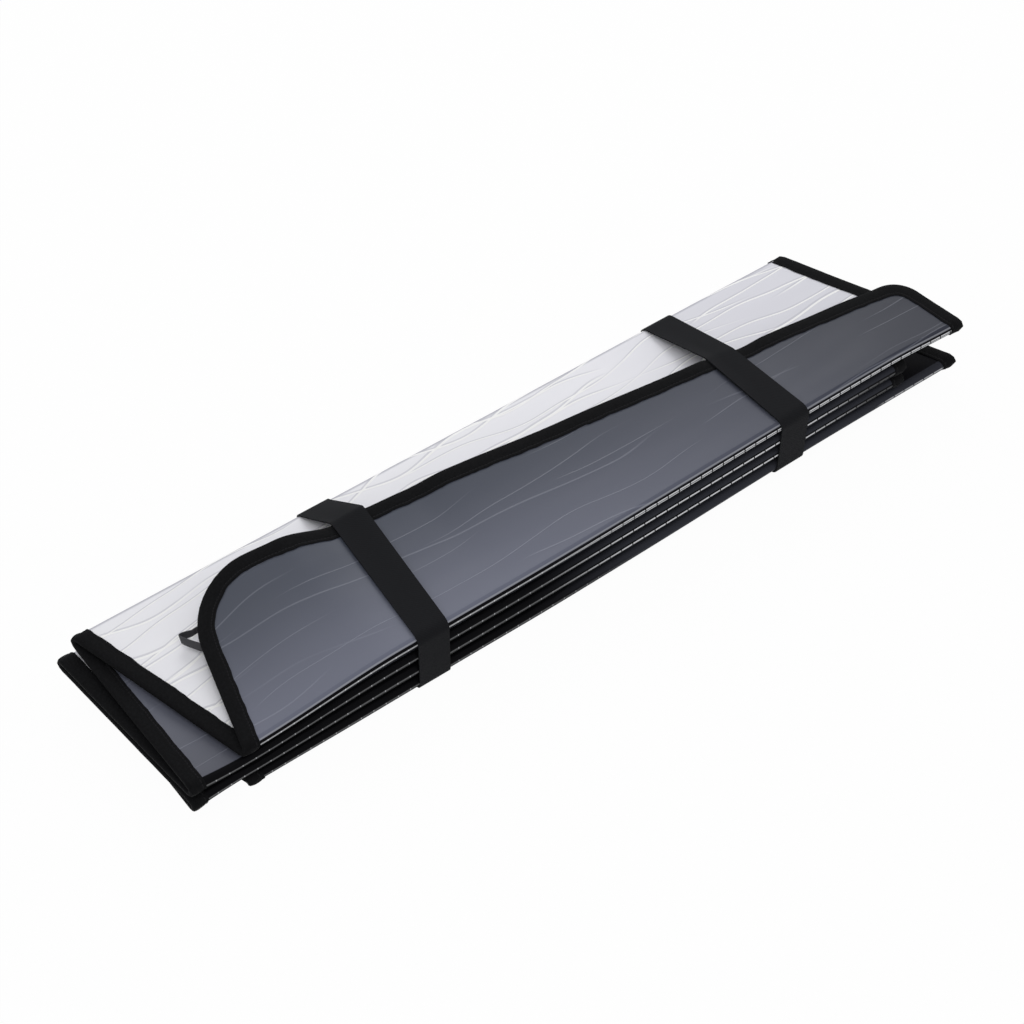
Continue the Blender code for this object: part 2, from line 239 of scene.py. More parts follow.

# Colours of the film, with its painted sheen, painted shade and painted highlights
FILM_CLOUD_COLOURS = ((0.062, 0.070, 0.094, 1), (0.068, 0.076, 0.102, 1))
FILM_NEAR_SHEEN = (0.160, 0.170, 0.222, 1)
FILM_TOP_END_SHADE = (0.036, 0.039, 0.052, 1)
FILM_INNER_SHADE = (0.006, 0.006, 0.008, 1)
FILM_CREASE_HIGHLIGHT = (0.40, 0.42, 0.50, 1)
TURN_RIM_HIGHLIGHT = (0.42, 0.43, 0.47, 1)
TURN_SLACK_SHADE = (0.0040, 0.0040, 0.0050, 1)
TURN_TAUT_SHADE = (0.036, 0.038, 0.048, 1)
TURN_GROOVE_SHADE = (0.0035, 0.0035, 0.0042, 1)
TURN_LINE_HIGHLIGHT = (0.88, 0.89, 0.92, 1)

# Colours of the foil, with its painted shade and painted highlights
FOIL_CLOUD_COLOURS = ((0.88, 0.88, 0.93, 1), (0.92, 0.92, 0.96, 1))
FOIL_TOP_END_SHADE = (0.75, 0.75, 0.81, 1)
FOIL_TURN_SHADE = (0.40, 0.40, 0.46, 1)
FOIL_FOOT_SHADE = (0.42, 0.42, 0.48, 1)
FOIL_RIDGE_HIGHLIGHT = (1.0, 1.0, 1.0, 1)

# Colours of tape, stitches, elastic and ribbon, and the distance from thread to thread
TAPE_COLOURS = ((0.0022, 0.0023, 0.0028, 1), (0.0046, 0.0047, 0.0056, 1))
STITCH_COLOUR = (0.020, 0.020, 0.022, 1)
ELASTIC_COLOURS = ((0.0055, 0.0059, 0.0072, 1), (0.0105, 0.0111, 0.0133, 1))
RIBBON_COLOURS = ((0.026, 0.026, 0.030, 1), (0.046, 0.046, 0.052, 1))
TAPE_THREAD = 0.0011
ELASTIC_RIB = 0.0013
ELASTIC_CROSS_RIB = 0.0026
RIBBON_RIB = 0.0009

# Camera, as it stood for the photograph
VIEW_AZIMUTH = 37.06
VIEW_ELEVATION = 48.68
VIEW_ROLL = 0.19
VIEW_PLACE = (-0.78507, -1.00667, 1.46594)
VIEW_LENS = 79.5
VIEW_SENSOR = 36

# Studio: share of plain white in the floor as it is seen, world light, and lamps (name, size, watts, place)
FLOOR_SIZE = 9.0
FLOOR_HEIGHT = -0.0004
FLOOR_WHITENESS = 0.97
WORLD_LEVEL = 0.50
LAMPS = (("lamp_above", 1.2, 8.0, (-0.5, -0.6, 1.9)),
         ("lamp_behind", 1.4, 13.0, (0.9, 1.5, 1.5)))


def smooth(value):
    """Ease from 0 to 1 with level ends."""
    value = min(max(value, 0.0), 1.0)
    return value * value * (3 - 2 * value)


def ease_through(stations, place):
    """Height at a place, eased from one station to the next."""
    height = stations[0][1]
    for (start, low), (end, high) in zip(stations, stations[1:]):
        height += (high - low) * smooth((place - start) / (end - start))
    return height


def end_panel_width(along):
    """Width of an end panel from its fold to its free edge."""
    share = (along - END_BOTTOM_ALONG) / (END_TOP_ALONG - END_BOTTOM_ALONG)
    return END_BOTTOM_WIDTH + share * (END_TOP_WIDTH - END_BOTTOM_WIDTH)


def level(layer, along, out):
    """Height of a layer's middle surface. Layer 0 lies lowest."""
    nearness = 1 - out / DEPTH
    slackness = nearness * (1 - smooth((along - BOTTOM_EDGE[-1]) / PITCH_EASING))
    height = FLOOR_TO_SHEET + layer * (LAYER_PITCH - BOTTOM_END_SQUEEZE * slackness)

    # Towards the shade's top edge the near folds lie higher, the lowest ones most of all. The lowest panel
    # slopes down to its free edge, which stays on the floor. The upper two panels droop a little at their
    # near corner, where they stand out past the inner ones.
    raised = smooth((along - NEAR_RISE_START) / NEAR_RISE_EASING)
    slope = max(0.0, 1 - out / (end_panel_width(along) if layer == 0 else DEPTH))
    height += slope * raised * (NEAR_RISE + NEAR_GATHER * (1 - layer / TOP_LAYER))
    if layer > TOP_LAYER - 2:
        height -= slope * DROOP * smooth((along - DROOP_START) / DROOP_EASING)

    # Past the outer panels' bottom edge the middle ones are free to spring apart.
    if 1 < layer < TOP_LAYER - 1:
        outer_edge = BOTTOM_EDGE[-1] + (BOTTOM_EDGE[-2] - BOTTOM_EDGE[-1]) * out / DEPTH
        opening = smooth((outer_edge - along) / OPENING_EASING)
        height += OPENING_RISE * opening * (layer - TOP_LAYER / 2) / (FOLDS - 1.5)
    return height


def ripple(across, along):
    """Gentle unevenness of the foam, long in the direction of the folds."""
    return sum(height * noise.noise(Vector((across * waves, along * long_waves, start)))
               for waves, long_waves, start, height in RIPPLES)


def fold(across, along, off):
    """Place in the folded pack of a point on the flat sheet, off its middle surface on the dark side."""
    off += ripple(across, along)
    line = max(-FOLDS, min(FOLDS, round(across / PANEL_WIDTH)))
    past = across - line * PANEL_WIDTH
    near = 1 if (line + FOLDS) % 2 == 0 else -1
    centre = BEND if near == 1 else BEND + DEPTH
    above = FOLDS + 1 - line

    if abs(past) < HALF_BEND_LENGTH:
        turn = past / BEND
        high = level(above, along, centre)
        low = level(above - 1, along, centre)
        y = centre - near * (BEND + near * off) * cos(turn)
        z = (high + low) / 2 - ((high - low) / 2 + near * off) * sin(turn)
        return Vector((along, y, z)) + PLACE

    layer = above if past < 0 else above - 1
    run = abs(past) - HALF_BEND_LENGTH
    up = 1 if (TOP_LAYER - layer) % 2 == 0 else -1
    if layer < TOP_LAYER:
        y = centre + near * run
        return Vector((along, y, level(layer, along, y) + up * off)) + PLACE

    width = end_panel_width(along)
    rise = ease_through(SPRINGS, along)
    share = max(run, 0.0) / width
    tilt = atan(rise * SPRING_CURL * share ** (SPRING_CURL - 1) / width)
    y = centre + run * cos(asin(rise / width)) - off * sin(tilt)
    z = level(layer, along, centre) + rise * share ** SPRING_CURL + off * cos(tilt)
    return Vector((along, y, z)) + PLACE


def round_corner(before, corner, after, radius):
    """Points of an arc that rounds a corner of the outline."""
    towards = (before - corner).normalized()
    away = (after - corner).normalized()
    half = towards.angle(away) / 2
    middle = corner + (towards + away).normalized() * radius / sin(half)
    start = corner + towards * radius / tan(half) - middle
    end = corner + away * radius / tan(half) - middle
    steps = range(CORNER_SEGMENTS + 1)
    return [middle + radius * start.slerp(end, step / CORNER_SEGMENTS) for step in steps]


def outline():
    """Cut edge of the flat sheet as a loop of points (across, along)."""
    bottom = [Vector((line * PANEL_WIDTH, place)) for line, place in enumerate(BOTTOM_EDGE)]
    top = [Vector((line * PANEL_WIDTH, place)) for line, place in enumerate(TOP_EDGE)]
    low = Vector((SHEET_EDGE, END_BOTTOM_ALONG))
    high = Vector((FOLDS * PANEL_WIDTH + END_TOP_WIDTH, END_TOP_ALONG))
    half = bottom
    half += round_corner(bottom[-1], low, high, END_BOTTOM_RADIUS)
    half += round_corner(low, high, top[-1], END_TOP_RADIUS)
    half += top[::-1]
    other = [Vector((-point.x, point.y)) for point in half[-2:0:-1]]
    return half + other


def flat_area():
    """Area of the cut blank."""
    points = outline()
    return sum(a.x * b.y - b.x * a.y for a, b in zip(points, points[1:] + points[:1])) / 2


def deselect_all():
    """Leave nothing selected, so that an operator acts on the next piece alone."""
    bpy.ops.object.select_all(action="DESELECT")


def take_up(item):
    """Make one piece the only one that operators act on."""
    deselect_all()
    item.select_set(True)
    bpy.context.view_layer.objects.active = item


def lay_grid(name, columns, rows):
    """A new flat grid of so many cells, one unit wide and long."""
    deselect_all()
    bpy.ops.mesh.primitive_grid_add(x_subdivisions=columns, y_subdivisions=rows, size=1)
    item = bpy.context.object
    item.name = name
    item.data.name = name
    return item


def thicken(item, thickness, back=0, rim=0):
    """Give a surface its thickness, with its own materials at the back and at the rim."""
    take_up(item)
    bpy.ops.object.modifier_add(type="SOLIDIFY")
    solidify = item.modifiers[-1]
    solidify.thickness = thickness
    solidify.offset = 0.0
    solidify.use_even_offset = True
    solidify.use_quality_normals = True
    solidify.material_offset = back
    solidify.material_offset_rim = rim
    bpy.ops.object.modifier_apply(modifier=solidify.name)


def shade(item, angle):
    """Smooth the piece except at its sharp edges."""
    take_up(item)
    bpy.ops.object.shade_smooth_by_angle(angle=radians(angle))


def close_band(item, thickness):
    """Join the ends of a band or ribbon, turn it outwards and give it its thickness."""
    take_up(item)
    bpy.ops.object.mode_set(mode="EDIT")
    bpy.ops.mesh.select_all(action="SELECT")
    bpy.ops.mesh.remove_doubles(threshold=MERGE_DISTANCE)
    bpy.ops.mesh.normals_make_consistent(inside=False)
    bpy.ops.object.mode_set(mode="OBJECT")
    thicken(item, thickness)
    shade(item, BAND_SHARPNESS)


def lay_pattern(item, places):
    """UV map in metres from one place per vertex."""
    layer = item.data.uv_layers.active or item.data.uv_layers.new(name="pattern")
    layer.name = "pattern"
    for corner in item.data.loops:
        layer.data[corner.index].uv = places[corner.vertex_index]


def steps_between(start, end, spacing):
    """Even places after the start, up to and with the end."""
    count = max(1, ceil((end - start) / spacing))
    return [start + (end - start) * step / count for step in range(1, count + 1)]


def column_places():
    """Places across the blank for the sheet's columns: close at the folds and on the panels in view."""
    places = [-SHEET_EDGE]
    for line in range(-FOLDS, FOLDS + 1):
        cell = CELL_IN_VIEW if line < 2 - FOLDS else CELL_BETWEEN
        bend_start = line * PANEL_WIDTH - HALF_BEND_LENGTH
        bend_end = bend_start + 2 * HALF_BEND_LENGTH
        places += steps_between(places[-1], bend_start, cell)
        places += steps_between(bend_start, bend_end, HALF_BEND_LENGTH / HALF_BEND_CELLS)
    return places + steps_between(places[-1], SHEET_EDGE, CELL_BELOW)


def trim(item, left, right, start, end):
    """Cut away what lies outside the line from start to end, between two places across the blank."""
    bm = bmesh.from_edit_mesh(item.data)
    for face in bm.faces:
        face.select_set(left < face.calc_center_median().x < right)
    bm.select_flush_mode()
    bmesh.update_edit_mesh(item.data)
    run = (end - start).normalized()
    bpy.ops.mesh.bisect(plane_co=(*start, 0), plane_no=(run.y, -run.x, 0), clear_outer=True,
                        threshold=MERGE_DISTANCE)


def cut_blank():
    """The flat blank: a grid cut to the outline, one panel after another."""
    places = column_places()
    rows = [BOTTOM_EDGE[0]] + steps_between(BOTTOM_EDGE[0], TOP_EDGE[-1], ROW_LENGTH)
    item = lay_grid("laminate", len(places) - 1, len(rows) - 1)
    for vertex in item.data.vertices:
        column = round((vertex.co.x + 0.5) * (len(places) - 1))
        row = round((vertex.co.y + 0.5) * (len(rows) - 1))
        vertex.co = (places[column], rows[row], 0)
    points = outline()
    bpy.ops.object.mode_set(mode="EDIT")
    bpy.ops.mesh.select_mode(type="FACE")
    for start, end in zip(points, points[1:] + points[:1]):
        panel = max(-FOLDS - 1, min(FOLDS, floor((start.x + end.x) / 2 / PANEL_WIDTH)))
        right = PANEL_WIDTH * (panel + 1) if panel < FOLDS else BEYOND_BLANK
        left = PANEL_WIDTH * panel if panel > -FOLDS - 1 else -BEYOND_BLANK
        trim(item, left, right, start, end)
    bpy.ops.object.mode_set(mode="OBJECT")
    return item


def dull_film(item):
    """Give the film another finish where it turns round the near folds and where panels cover it."""
    for face in item.data.polygons:
        past = abs(face.center.x / PANEL_WIDTH + 1) % 2 * PANEL_WIDTH
        turned = min(past, 2 * PANEL_WIDTH - past) < HALF_BEND_LENGTH
        if face.material_index == FILM and (turned or face.center.x > -PANEL_WIDTH / 2):
            face.material_index = DULL_FILM


def make_sheet(*materials):
    """The laminate with its dark film on one side and silver foil on the other, folded into the pack."""
    item = cut_blank()
    for material in materials:
        item.data.materials.append(material)
    thicken(item, SHEET_THICKNESS, back=FOIL, rim=FOAM)
    lay_pattern(item, [vertex.co.xy for vertex in item.data.vertices])
    dull_film(item)
    for vertex in item.data.vertices:
        vertex.co = fold(*vertex.co)
    shade(item, SHEET_SHARPNESS)
    return item


def walk_round(points, spacing):
    """Places round a closed loop (point, outward direction and distance walked), and its whole length."""
    places = []
    walked = 0.0
    for before, start, end in zip(points[-1:] + points[:-1], points, points[1:] + points[:1]):
        run = end - start
        straight = run.normalized()
        corner = ((start - before).normalized() + straight).normalized()
        count = max(1, round(run.length / spacing))
        for step in range(count):
            heading = corner if step == 0 else straight
            outward = Vector((heading.y, -heading.x)) / heading.dot(straight)
            places.append((start + run * step / count, outward, walked + run.length * step / count))
        walked += run.length
    return places, walked


def binding_section():
    """Section of the tape from one inner edge round the cut edge to the other: distance out, and off."""
    side = BINDING_REACH - BINDING_THICKNESS / 2
    edge = BINDING_GAP + BINDING_THICKNESS / 2
    flap = BINDING_REACH - SHEET_THICKNESS / 2 - BINDING_WIDTH
    half = [(flap, BINDING_EDGE_OFF)]
    half += [(flap + out, side + off) for out, off in BINDING_FLAP]
    half += [(edge + out, side + off) for out, off in BINDING_TURN]
    return half + [(distance, -off) for distance, off in half[::-1]]


def stray(walked, side, waves, start, apart, size):
    """How far the tape strays at one place along it, on one of its two sides."""
    return size * noise.noise(Vector((walked * waves, side * apart, start)))


def binding_unevenness(walked, side, distance):
    """How far the tape strays outwards, most of all at its inner edges, and how far off."""
    inwardness = max(0.0, -distance / BINDING_WIDTH)
    out = (stray(walked, side, **BINDING_SWAY) + stray(walked, side, **BINDING_FRAY)) * inwardness
    off = side * stray(walked, side, start=distance * BINDING_PUCKER_WAVES_OUT, **BINDING_PUCKER)
    return out, off


def make_binding(cloth):
    """Woven tape folded over the whole cut edge, with soft, slightly uneven inner edges."""
    places, length = walk_round(outline(), BINDING_STEP)
    section = binding_section()
    widths = [0.0]
    for (a, b), (c, d) in zip(section, section[1:]):
        widths.append(widths[-1] + hypot(c - a, d - b))
    item = lay_grid("edge_tape", len(places), len(section) - 1)
    item.data.materials.append(cloth)
    pattern = []
    for vertex in item.data.vertices:
        station = round((vertex.co.x + 0.5) * len(places))
        ring = round((vertex.co.y + 0.5) * (len(section) - 1))
        point, outward, walked = places[station % len(places)]
        distance, off = section[ring]
        side = 1 if ring < len(section) / 2 else -1
        stray_out, stray_off = binding_unevenness(walked, side, distance)
        target = point + outward * (distance + stray_out)
        pattern.append((length if station == len(places) else walked, widths[ring]))
        vertex.co = fold(target.x, target.y, off + stray_off)
    lay_pattern(item, pattern)
    close_band(item, BINDING_THICKNESS)
    return item


def strap_posts(along):
    """What a strap is stretched round at one place along the pack: centres and radii, in order."""
    reach = STRAP_GAP + STRAP_THICKNESS / 2
    clear = BEND + BINDING_REACH + reach
    near = BEND + BINDING_REACH - SHEET_THICKNESS / 2
    far = 2 * BEND + DEPTH - near
    edge = FOLDS * PANEL_WIDTH + end_panel_width(along) + BINDING_GAP + BINDING_THICKNESS

    def between(layer, out):
        return (level(layer, along, out) + level(layer + 1, along, out)) / 2

    bottom_corner = fold(edge, along, BINDING_REACH) - PLACE
    top_corner = fold(-edge, along, BINDING_REACH) - PLACE
    return [((near, between(0, near)), clear),
            ((bottom_corner.y, bottom_corner.z), reach),
            ((far, between(1, far)), clear),
            ((far, between(TOP_LAYER - 2, far)), clear),
            ((top_corner.y, top_corner.z), reach + STRAP_RIDGE_GAP),
            ((near, between(TOP_LAYER - 1, near)), clear)]


def stretched_round(posts):
    """Closed path of a band pulled tight round the posts, as evenly spaced points (out, height)."""
    facings = []
    for (centre, radius), (following, following_radius) in zip(posts, posts[1:] + posts[:1]):
        step = (following[0] - centre[0], following[1] - centre[1])
        lean = acos((radius - following_radius) / hypot(*step))
        facings.append(atan2(step[1], step[0]) - lean)
    path = []
    for index, (centre, radius) in enumerate(posts):
        start = facings[index - 1]
        turn = (facings[index] - start) % (2 * pi)
        for step in range(STRAP_TURN_SEGMENTS + 1):
            facing = start + turn * step / STRAP_TURN_SEGMENTS
            path.append(Vector((centre[0] + radius * cos(facing), centre[1] + radius * sin(facing))))
    return spread_evenly(path, STRAP_STATIONS)


def spread_evenly(path, count):
    """The closed path again, with so many evenly spaced points."""
    closed = path + path[:1]
    walked = [0.0]
    for start, end in zip(closed, closed[1:]):
        walked.append(walked[-1] + (end - start).length)
    even = []
    index = 0
    for step in range(count):
        target = walked[-1] * step / count
        while walked[index + 1] < target:
            index += 1
        share = (target - walked[index]) / max(walked[index + 1] - walked[index], 1e-9)
        even.append(closed[index].lerp(closed[index + 1], share))
    return even


def make_strap(name, elastic, along, skew, push):
    """A closed band of elastic round the pack, which has slipped sideways a little on the sprung panel."""
    columns = [along + STRAP_WIDTH * (step / STRAP_COLUMNS - 0.5) for step in range(STRAP_COLUMNS + 1)]
    paths = [stretched_round(strap_posts(column + push)) for column in columns]
    ridge_out = strap_posts(along + push)[RIDGE_POST][0][0]
    item = lay_grid(name, STRAP_STATIONS, STRAP_COLUMNS)
    item.data.materials.append(elastic)
    pattern = []
    for vertex in item.data.vertices:
        station = round((vertex.co.x + 0.5) * STRAP_STATIONS)
        column = round((vertex.co.y + 0.5) * STRAP_COLUMNS)
        out, height = paths[column][station % STRAP_STATIONS]
        slant = skew * ((out - BEND) / DEPTH - 0.5)
        if height > FLOOR_TO_SHEET + (TOP_LAYER - 1) * LAYER_PITCH:
            reach = DEPTH - ridge_out if out > ridge_out else ridge_out
            slant += push * max(0.0, 1 - abs(out - ridge_out) / (reach + STRAP_PUSH_EASING))
        pattern.append((station * STRAP_STATION_LENGTH, column * STRAP_WIDTH / STRAP_COLUMNS))
        vertex.co = Vector((columns[column] + slant, out, height)) + PLACE
    lay_pattern(item, pattern)
    close_band(item, STRAP_THICKNESS)
    return item


def loop_path():
    """Upper edge of the loop's ribbon: distance from the fold, place along the shade, and twist."""
    run = (END_BOTTOM_ALONG - BOTTOM_EDGE[-1]) / END_BOTTOM_WIDTH
    base = BOTTOM_EDGE[-1] + run * LOOP_FROM_FOLD - BINDING_GAP - BINDING_THICKNESS
    path = [(LOOP_FROM_FOLD - LOOP_SPREAD / 2, base + LOOP_TUCK, LOOP_NEAR_TWIST)]
    for step in range(LOOP_SEGMENTS + 1):
        turn = pi * (step / LOOP_SEGMENTS - 0.5)
        share = 1 - abs(sin(turn)) ** LOOP_ROUNDNESS
        from_fold = LOOP_FROM_FOLD + LOOP_SPREAD / 2 * sin(turn) + LOOP_LEAN * share
        twist = LOOP_NEAR_TWIST + (LOOP_FAR_TWIST - LOOP_NEAR_TWIST) * (1 + sin(turn)) / 2
        path.append((from_fold, base - LOOP_LENGTH * share, twist))
    return path + [(LOOP_FROM_FOLD + LOOP_SPREAD / 2, base + LOOP_TUCK, LOOP_FAR_TWIST)]


def make_loop(ribbon):
    """The hanging loop: a narrow ribbon on edge, bent back on itself, its ends under the binding."""
    path = loop_path()
    upper = -BINDING_REACH - LOOP_GAP
    item = lay_grid("loop_ribbon", len(path) - 1, LOOP_COLUMNS)
    item.data.materials.append(ribbon)
    pattern = []
    for vertex in item.data.vertices:
        from_fold, along, twist = path[round((vertex.co.x + 0.5) * (len(path) - 1))]
        down = LOOP_RIBBON_WIDTH * (vertex.co.y + 0.5)
        pattern.append((vertex.co.x * LOOP_PATTERN_LENGTH, down))
        across = -FOLDS * PANEL_WIDTH - from_fold - down * sin(twist)
        vertex.co = fold(across, along, upper - down * cos(twist))
    lay_pattern(item, pattern)
    close_band(item, LOOP_RIBBON_THICKNESS)
    return item


class Finish:
    """A material whose nodes are added one after another."""

    def __init__(self, name, colour, roughness, metallic=0.0, gloss=0.5):
        self.material = bpy.data.materials.new(name)
        self.material.use_nodes = True
        self.tree = self.material.node_tree
        self.shader = self.tree.nodes["Principled BSDF"]
        self.shader.inputs["Base Color"].default_value = (*colour, 1)
        self.shader.inputs["Roughness"].default_value = roughness
        self.shader.inputs["Metallic"].default_value = metallic
        self.shader.inputs["Specular IOR Level"].default_value = gloss

    def add(self, kind, links=(), **settings):
        """One node with its settings, linked to what feeds it."""
        node = self.tree.nodes.new("ShaderNode" + kind)
        for name, value in settings.items():
            setattr(node, name, value)
        for name, value in links:
            if isinstance(value, bpy.types.NodeSocket):
                self.tree.links.new(value, node.inputs[name])
            else:
                node.inputs[name].default_value = value
        return node

    def math(self, operation, *values):
        """Result of one sum."""
        return self.add("Math", list(enumerate(values)), operation=operation).outputs[0]

    def pattern(self):
        """The piece's own pattern map, in metres: both directions."""
        parts = self.add("SeparateXYZ", [("Vector", self.add("UVMap", uv_map="pattern").outputs["UV"])])
        return parts.outputs["X"], parts.outputs["Y"]

    def place(self, across, along, shift=0.0):
        """A point for a texture to read."""
        return self.add("CombineXYZ", [("X", across), ("Y", along), ("Z", shift)]).outputs[0]

    def noise(self, place, scale, detail):
        """Soft noise between 0 and 1, read at a place."""
        return self.add("TexNoise", [("Vector", place), ("Scale", scale), ("Detail", detail)]).outputs["Fac"]

    def clouds(self, across, along, waves, long_waves, detail):
        """Noise in long clouds, with so many waves per metre across and along the folds."""
        place = self.place(self.math("MULTIPLY", across, waves), self.math("MULTIPLY", along, long_waves))
        return self.noise(place, 1.0, detail)

    def wave(self, value, length):
        """Wave from -1 to 1 over a length."""
        return self.math("SINE", self.math("MULTIPLY", value, 2 * pi / length))

    def ramp(self, value, low, high, start=0.0, end=1.0):
        """The value, eased from one span to another."""
        links = [("Value", value), ("From Min", low), ("From Max", high), ("To Min", start), ("To Max", end)]
        return self.add("MapRange", links, interpolation_type="SMOOTHSTEP").outputs["Result"]

    def mix(self, share, first, second):
        """Two colours mixed by a share."""
        return self.add("Mix", [(0, share), (6, first), (7, second)], data_type="RGBA").outputs[2]

    def creases(self, across, along, rows, slant, sway, seed):
        """Gently bent creases nearly along the folds, some rows per metre: place from a crease, in rows."""
        bend = self.noise(self.place(across, along, seed), CREASE_BEND_SCALE, 1.0)
        bent = self.math("MULTIPLY_ADD", bend, sway, self.math("MULTIPLY", along, slant))
        row = self.math("MULTIPLY_ADD", across, rows, bent)
        return self.math("SUBTRACT", self.math("FRACT", row), 0.5)

    def patches(self, across, along, seed, low, high):
        """1 in long patches and 0 between them, to break lines off."""
        place = self.place(self.math("MULTIPLY", across, PATCH_NARROWING), along, seed)
        return self.ramp(self.noise(place, PATCH_SCALE, 0.0), low, high)

    def line(self, place, middle, half, soft):
        """1 on a line at the middle, so wide to either side, and 0 beyond its soft edge."""
        from_middle = self.math("ABSOLUTE", self.math("SUBTRACT", place, middle))
        return self.ramp(from_middle, half, half + soft, 1.0, 0.0)

    def finish(self, colour=None, roughness=None, heights=()):
        """Connect what varies: colour, roughness and a row of (height, distance in metres, strength)."""
        if colour is not None:
            self.tree.links.new(colour, self.shader.inputs["Base Color"])
        if roughness is not None:
            self.tree.links.new(roughness, self.shader.inputs["Roughness"])
        normal = None
        for height, distance, strength in heights:
            links = [("Height", height), ("Distance", distance), ("Strength", strength)]
            if normal is not None:
                links.append(("Normal", normal))
            normal = self.add("Bump", links).outputs["Normal"]
        if normal is not None:
            self.tree.links.new(normal, self.shader.inputs["Normal"])
        return self.material


def make_film(name, gloss):
    """Dark film, with faint long creases drawn as painted highlights, painted sheen and painted shade, and
    painted shade and a painted highlight along the near folds.
    """
    film = Finish(name, (0.085, 0.088, 0.105), 0.40, gloss=gloss)
    across, along = film.pattern()
    cloud = film.clouds(across, along, *FILM_CLOUDS)
    base = film.mix(film.ramp(cloud, *CLOUD_SPAN), *FILM_CLOUD_COLOURS)
    # Painted sheen: the film grows lighter towards the top panel's near fold.
    nearness = film.ramp(across, FILM_LIT_START * PANEL_WIDTH, -FOLDS * PANEL_WIDTH)
    base = film.mix(nearness, base, FILM_NEAR_SHEEN)
    # Painted shade: the film darkens towards the shade's top end.
    base = film.mix(film.ramp(along, *FILM_TOP_SHADE_SPAN, 0.0, FILM_TOP_SHADE_SHARE), base, FILM_TOP_END_SHADE)
    # Painted shade on the inner panels, which the pack's other panels cover.
    base = film.mix(film.ramp(across, FILM_SHADE_START * PANEL_WIDTH, PANEL_WIDTH / 2), base, FILM_INNER_SHADE)

    crease = 0.0
    for rows, slant, sway, seed in FILM_CREASES:
        place = film.creases(across, along, rows, slant, sway, seed)
        shown = film.patches(across, along, seed + 1, *FILM_CREASE_PATCHES)
        lines = film.math("MULTIPLY", film.line(place, *FILM_CREASE_LINE), shown)
        crease = film.math("MAXIMUM", crease, lines)
    # Painted highlight along the film's creases.
    base = film.mix(film.math("MULTIPLY", crease, FILM_CREASE_HIGHLIGHT_SHARE), base, FILM_CREASE_HIGHLIGHT)
    base = press_folds(film, across, along, base)
    grain = film.noise(film.place(across, along), *FILM_GRAIN)
    rough = film.ramp(cloud, *CLOUD_SPAN, *FILM_ROUGHNESS)
    return film.finish(base, rough, [(crease, 0.0004, 0.4), (grain, 0.00004, 0.35)])


def press_folds(film, across, along, base):
    """Colour of the film round the near folds: painted shade, with a painted highlight along the nose."""
    panel = film.math("FLOORED_MODULO", film.math("DIVIDE", across, PANEL_WIDTH), 2.0)
    past = film.math("MULTIPLY", film.math("SUBTRACT", panel, 1.0), PANEL_WIDTH)
    first = film.math("LESS_THAN", across, -(FOLDS - 1) * PANEL_WIDTH)
    last = film.math("GREATER_THAN", across, (FOLDS - 1) * PANEL_WIDTH)
    taut = film.ramp(along, *FOLD_TAUT)
    base = paint_turn_shade(film, across, past, taut, base)

    half = film.math("MULTIPLY_ADD", film.math("MULTIPLY", taut, first), FOLD_LINE_HALF, FOLD_LINE_HALF)
    from_line = film.math("ABSOLUTE", film.math("ADD", past, FOLD_LINE))
    beyond = film.math("SUBTRACT", from_line, half)
    grooved = film.math("SUBTRACT", 1.0, film.math("MULTIPLY", last, taut))
    # Painted shade in the groove on either side of the bright line.
    groove_shade = film.math("MULTIPLY", film.ramp(beyond, *FOLD_GROOVE_EDGE, 1.0, 0.0), grooved)
    base = film.mix(groove_shade, base, TURN_GROOVE_SHADE)

    levels = highlight_levels(film, along, from_line, taut, first, last)
    # Painted highlight along the fold's nose.
    line_highlight = film.ramp(beyond, -FOLD_LINE_SOFTNESS, FOLD_LINE_SOFTNESS, 1.0, 0.0)
    return film.mix(film.math("MULTIPLY", line_highlight, levels), base, TURN_LINE_HIGHLIGHT)


def paint_turn_shade(film, across, past, taut, base):
    """Colour of the film where it turns round a near fold: painted shade, after a painted highlight on the
    top panel's rim.
    """
    # Painted highlight: a pale rim on the top panel where the film starts to turn.
    on_top = film.math("LESS_THAN", across, -FOLDS * PANEL_WIDTH)
    from_rim = film.math("ABSOLUTE", film.math("ADD", past, FOLD_RIM))
    rim = film.math("MULTIPLY", on_top, film.ramp(from_rim, *FOLD_RIM_EDGE, FOLD_RIM_HIGHLIGHT_SHARE, 0.0))
    base = film.mix(rim, base, TURN_RIM_HIGHLIGHT)

    # Painted shade over the film as it turns round the fold: black where the folds are slack, dark grey where
    # taut.
    start = film.math("MULTIPLY_ADD", on_top, FOLD_DARK_TOP - FOLD_DARK_START, FOLD_DARK_START)
    turned = film.math("MULTIPLY", film.ramp(film.math("ADD", past, start), -FOLD_DARK_SOFTNESS, 0.0),
                       film.ramp(past, *FOLD_DARK_END, 1.0, 0.0))
    return film.mix(turned, base, film.mix(taut, TURN_SLACK_SHADE, TURN_TAUT_SHADE))


